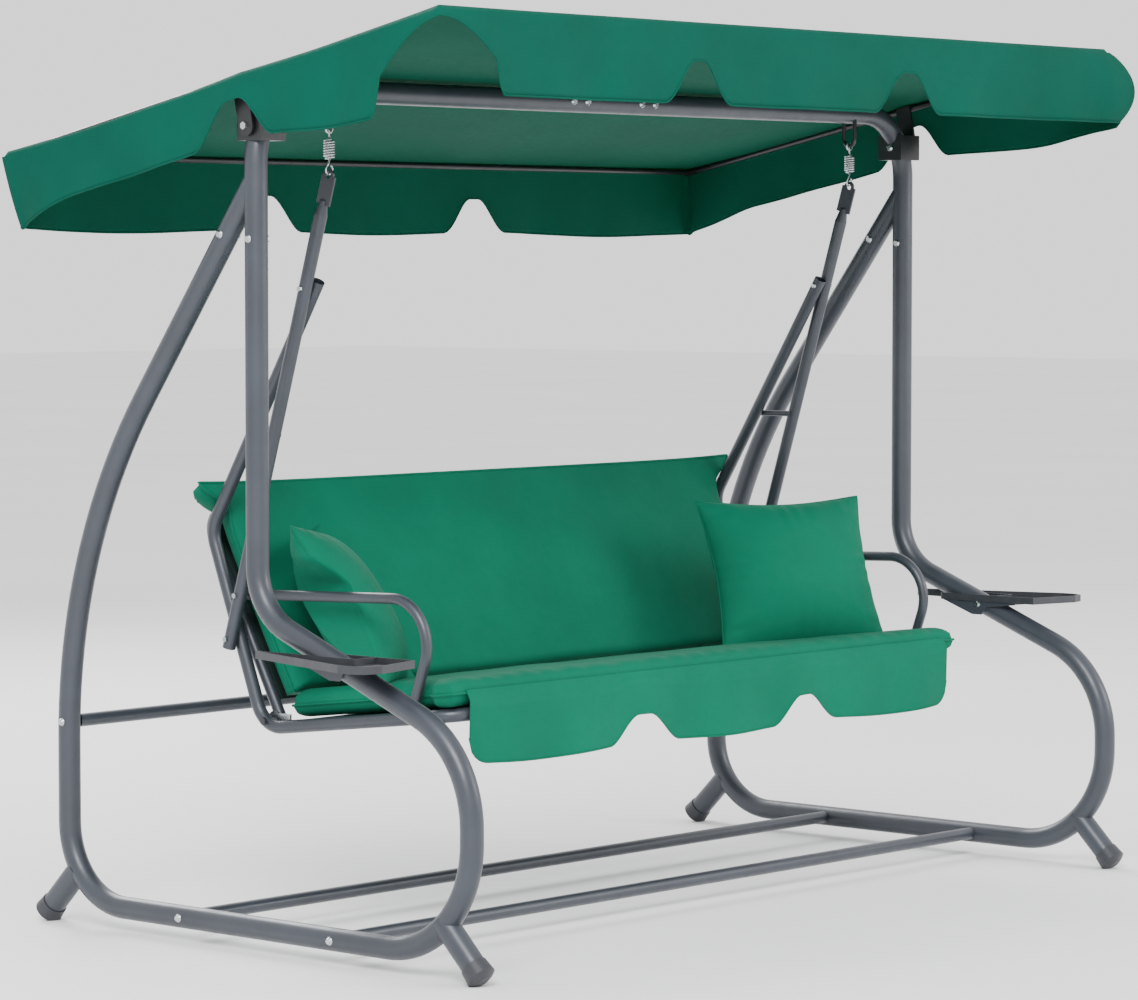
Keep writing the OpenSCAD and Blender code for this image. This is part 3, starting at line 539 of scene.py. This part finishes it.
def seat_flap_point(u, v):
    """Point of the flap, which bows out over the rail and hangs in slight folds."""
    x = (2 * u - 1) * FLAP_HALF
    depth = flap_depth(x)
    bow = 0.010 * smooth_step(v, 0, 0.25) + 0.008 * v
    swing = (0.004 * math.sin(x * 13 + 0.6) + 0.0025 * math.sin(x * 31 + 1.4)) * v
    flat_in = 0.006 * (abs(x) / FLAP_HALF) ** 8 * v
    return Vector((x, flap_top.y - 0.002 - bow - swing + flat_in, flap_top.z - depth * v))


seat_flap = new_object("seat_flap", *grid(277, 33, seat_flap_point))
thicken(seat_flap, FLAP_CLOTH)
HEM_STEPS = 180
flap_hem = sweep("seat_flap_hem", [seat_flap_point(i / HEM_STEPS, 1) for i in range(HEM_STEPS + 1)],
                 FLAP_HEM_R)


def border(point, columns, rows):
    """Points round the border of a sheet, as a closed loop."""
    loop = [point(i / columns, 0) for i in range(columns)]
    loop += [point(1, j / rows) for j in range(rows)]
    loop += [point(1 - i / columns, 1) for i in range(columns)]
    loop += [point(0, 1 - j / rows) for j in range(rows)]
    return loop


seat_piping = sweep("seat_piping", border(seat_pad_sheet(1), 200, 60), PIPING_R, closed=True)
for piece in (seat_pad, seat_flap, flap_hem, seat_piping):
    dress(piece, "cushion_fabric")
    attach(piece, "seat")
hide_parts("seat_pad")

# ---- back pad, with flared upper corners ----

BACK_PAD_LOW, BACK_PAD_TOP = 0.030, BACK_LENGTH + 0.013
BACK_NEAR, BACK_FAR = 0.0132, 0.088
BACK_SEAM = BACK_NEAR + 0.046
BACK_EDGE = 0.055             # radius of the pad's rounded edge
BACK_CROWN = 0.010
LOWER_EDGE = 2.5              # the lower edge is this much tighter


def back_half_width(v):
    """Half width of the pad, flared at its top."""
    return 0.714 + 0.062 * smooth_step(v, 0.88, 1.0) + 0.002 * math.sin(math.pi * v)


def back_pad_sheet(side):
    """Front (1) or rear (-1) face of the back pad."""
    def point(u, v):
        half = back_half_width(v)
        x = (2 * u - 1) * half
        length = BACK_PAD_TOP - BACK_PAD_LOW
        rise = 0.006 * (abs(x) / half) ** 6 * max(v - 0.9, 0) * 10
        y = BACK_PAD_LOW + length * v + rise
        distance = min(half - abs(x), length * v * LOWER_EDGE, length * (1 - v))
        share = pad_share(distance, BACK_EDGE, 2.2)
        corner = math.exp(-math.hypot(half - abs(x), length * (1 - v)) / 0.09)
        seam = BACK_SEAM + 0.022 * smooth_step(v, 0.75, 1.0)
        if side < 0:
            return BACK_PLANE @ Vector((x, y, seam - (seam - BACK_NEAR) * share))
        crown = BACK_CROWN * math.sin(math.pi * v) * (1 - (x / half) ** 4)
        gather = 0.0018 * math.sin(x * 80 + 3 * math.sin(x * 9)) * math.exp(-distance / 0.03) * share
        wave = 0.004 * ripple((x, y, 0), 0.25, 11.0) * share + 0.0012 * ripple((x, y, 0), 0.07, 5.0) * share
        height = BACK_FAR - 0.006 + crown + gather + wave
        thin = 1 - 0.65 * corner
        return BACK_PLANE @ Vector((x, y, seam + (height - seam) * share * thin))
    return point


back_pad = closed_pad("back_cushion", 301, 113, back_pad_sheet(1), back_pad_sheet(-1))
back_piping = sweep("back_piping", border(back_pad_sheet(1), 200, 80), PIPING_R, closed=True)
for piece in (back_pad, back_piping):
    dress(piece, "cushion_fabric")
    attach(piece, "backrest")
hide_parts("back_pad")

# ---- scatter pillows ----

PILLOW_T = 0.138
PILLOW_SEAM_R = 0.0016
PULL_SIDE, PULL_TOP, PULL_LOW = 0.085, 0.095, 0.02  # how far each edge pulls in between its corners
GIVE = 0.06                   # share of a pillow's sinking into a pad that is left
PILLOWS = {                   # angles in degrees: turned about Z, leaning back, rolled in its own plane
    "left": dict(centre=(-0.610, TOP_BAR_Y + 0.107, 0.600), yaw=42, lean=31.5, roll=-6,
                 width=0.375, height=0.345, seed=1.3),
    "right": dict(centre=(0.535, TOP_BAR_Y - 0.034, 0.607), yaw=-21, lean=22, roll=0,
                  width=0.385, height=0.325, seed=4.1),
}


def pillow_sheet(matrix, face, seed, width, height):
    """Front (1) or rear (-1) face of a pillow, gathered along its seam."""
    def point(u, v):
        a, b = 2 * u - 1, 2 * v - 1
        pull_x = 1 - PULL_SIDE * (1 - b * b) ** 1.2
        pull_y = 1 - (PULL_TOP if b > 0 else PULL_LOW) * (1 - a * a) ** 1.2
        x, y = a * width / 2 * pull_x, b * height / 2 * pull_y
        plump = ((1 - abs(a) ** 2.4) * (1 - abs(b) ** 2.4)) ** 0.58
        edge = min(1 - abs(a), 1 - abs(b))
        where = a if abs(b) > abs(a) else b
        gather = 0.080 * math.sin(where * 26 + seed + 2 * math.sin(where * 7)) * math.exp(-edge / 0.16)
        soft = 0.05 * ripple((x, y, face), 0.10, seed)
        z = face * PILLOW_T / 2 * plump * (1 + gather + soft)
        return matrix @ Vector((x, y, z))
    return point


def build_pillow(side, centre, yaw, lean, roll, width, height, seed):
    matrix = (Matrix.Translation(centre) @ Matrix.Rotation(math.radians(yaw), 4, "Z")
              @ Matrix.Rotation(math.radians(90 - lean), 4, "X")
              @ Matrix.Rotation(math.radians(roll), 4, "Z"))
    front = pillow_sheet(matrix, 1, seed, width, height)
    back = pillow_sheet(matrix, -1, seed + 4, width, height)
    pillow = closed_pad("pillow_cover_" + side, 121, 97, front, back)
    seam = sweep("pillow_seam_" + side, border(front, 80, 64), PILLOW_SEAM_R, closed=True)
    return pillow, seam


def press_on(vertex, matrix, face):
    """Flattens what would lie below a plane at the height face over the given one."""
    local = matrix.inverted() @ vertex.co
    if local.z < face:
        local.z = face - (face - local.z) * GIVE
        vertex.co = matrix @ local


def press_pillow(obj):
    """Flattens what would lie inside the back pad, the left armrest or the seat pad."""
    arm_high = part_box("armrest_left")[1]
    arm_face = arm_high.x + 0.022
    for vertex in obj.data.vertices:
        press_on(vertex, BACK_PLANE, BACK_FAR + 0.002)
        beside_arm = 1 - smooth_step(vertex.co.z, arm_high.z, arm_high.z + 0.06)
        vertex.co.x += max(arm_face - vertex.co.x, 0) * 0.95 * beside_arm
        press_on(vertex, SEAT_PLANE, SEAT_PAD_HIGH - SEAT_CROWN)


for side, shape in PILLOWS.items():
    cover, seam = build_pillow(side, **shape)
    for piece in (cover, seam):
        press_pillow(piece)
        dress(piece, "cushion_fabric")
        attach(piece, "seat")
    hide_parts("pillow_" + side)

# ---- slings under the pads ----


SLING_CLOTH = 0.0015


def sling(name, node, body, matrix, low, high, half, dip):
    """Cloth stretched from low to high in a plane, dipping a little in its middle."""
    def point(u, v):
        x, y = (2 * u - 1) * half, low + (high - low) * v
        hang = dip * math.sin(math.pi * u) * math.sin(math.pi * v)
        return matrix @ Vector((x, y, -hang))
    piece = new_object(name, *grid(120, 40, point))
    thicken(piece, SLING_CLOTH)
    dress(piece, "sling_mesh")
    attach(piece, body)
    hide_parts(node)


sling("seat_mesh", "seat_sling", "seat", SEAT_PLANE, 0.013, 0.407, 0.7265, 0.010)
sling("back_mesh", "backrest_sling", "backrest", BACK_PLANE, 0.040, BACK_LENGTH - BACK_R - 0.001, 0.696,
      0.004)

# ---- springs: a close coil drawn out into a hook at each end ----

WIRE = 0.0017
TURNS, TURN_STEPS = 8, 24     # turns of the coil, and points in each turn
HOOK_R, COIL_R = 0.0085, 0.0092
HOOK_LENGTH = 0.029           # from the spring's end to its coil
HOOK_HALF = 150               # half of a hook's arc, in degrees


def hook_arc(middle_z, way):
    """Arc of a hook about the height middle_z, drawn clockwise (-1) or back (1)."""
    points = []
    for i in range(TURN_STEPS + 1):
        a = math.radians(way * (2 * HOOK_HALF * i / TURN_STEPS - HOOK_HALF)) - math.pi / 2
        points.append(Vector((HOOK_R * math.cos(a), 0, middle_z + HOOK_R * math.sin(a))))
    return points


def spring_path(centre, low, high):
    """Path of the wire from the lower hook up through the coil to the upper hook."""
    coil_low, coil_high = low + HOOK_LENGTH, high - HOOK_LENGTH
    points = hook_arc(low + WIRE + HOOK_R, -1)
    for i in range(TURNS * TURN_STEPS + 1):
        a = 2 * math.pi * i / TURN_STEPS
        share = i / (TURNS * TURN_STEPS)
        grow = min(1, share * TURNS * 1.5, (1 - share) * TURNS * 1.5)
        r = COIL_R * (0.25 + 0.75 * grow)
        points.append(Vector((r * math.cos(a), r * math.sin(a), coil_low + (coil_high - coil_low) * share)))
    points += hook_arc(high - WIRE - HOOK_R, 1)
    return [p + Vector((centre.x, centre.y, 0)) for p in points]


for side in ("left", "right"):
    low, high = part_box("spring_" + side)
    coil = sweep("coil_" + side, spring_path((low + high) / 2, low.z, high.z), WIRE)
    dress(coil, "zinc")
    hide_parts("spring_" + side)
    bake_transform(coil)

# ---- camera, floor and light ----

CAMERA_PLACE = Vector((-6.171, -5.4676, 1.238))
CAMERA_YAW, CAMERA_PITCH = 48.13, 3.20
CAMERA_LENS, SENSOR_WIDTH = 132.6, 36
FLOOR_HALF = 40
LIGHT_SIZE = 3.0
WORLD_STRENGTH = 1.45


def add_camera():
    data = bpy.data.cameras.new("camera")
    data.lens, data.sensor_width = CAMERA_LENS, SENSOR_WIDTH
    camera = bpy.data.objects.new("camera", data)
    bpy.context.scene.collection.objects.link(camera)
    camera.location = CAMERA_PLACE
    camera.rotation_euler = (math.radians(90 - CAMERA_PITCH), 0, -math.radians(CAMERA_YAW))
    bpy.context.scene.camera = camera


def add_area(name, place, target, power):
    """Round area light that points at the target."""
    data = bpy.data.lights.new(name, "AREA")
    data.shape, data.size, data.energy = "DISK", LIGHT_SIZE, power
    light = bpy.data.objects.new(name, data)
    bpy.context.scene.collection.objects.link(light)
    light.location = place
    light.rotation_euler = (Vector(target) - Vector(place)).to_track_quat("-Z", "Y").to_euler()


def add_stage():
    """Pale floor and an even white surrounding light."""
    half = FLOOR_HALF
    floor = new_object("floor", [(-half, -half, 0), (half, -half, 0), (half, half, 0), (-half, half, 0)],
                       [(0, 1, 2, 3)])
    n = Nodes("pale_floor")
    n.link(n.ramp(n.noise(0.6), (0.86, 0.86, 0.86), (0.90, 0.90, 0.90)), n.shader.inputs["Base Color"])
    n.set(Roughness=0.7)
    floor.data.materials.append(n.material)
    world = bpy.data.worlds.new("studio")
    world.use_nodes = True
    world.node_tree.nodes["Background"].inputs["Color"].default_value = (1, 1, 1, 1)
    world.node_tree.nodes["Background"].inputs["Strength"].default_value = WORLD_STRENGTH
    bpy.context.scene.world = world


add_camera()
add_stage()
add_area("key", (-4.5, -3.0, 4.5), (0, 0, 0.8), 420)
add_area("fill", (3.5, -5.0, 3.0), (0, 0, 0.9), 160)
add_area("back", (1.5, 4.5, 4.0), (0, 0, 1.0), 260)
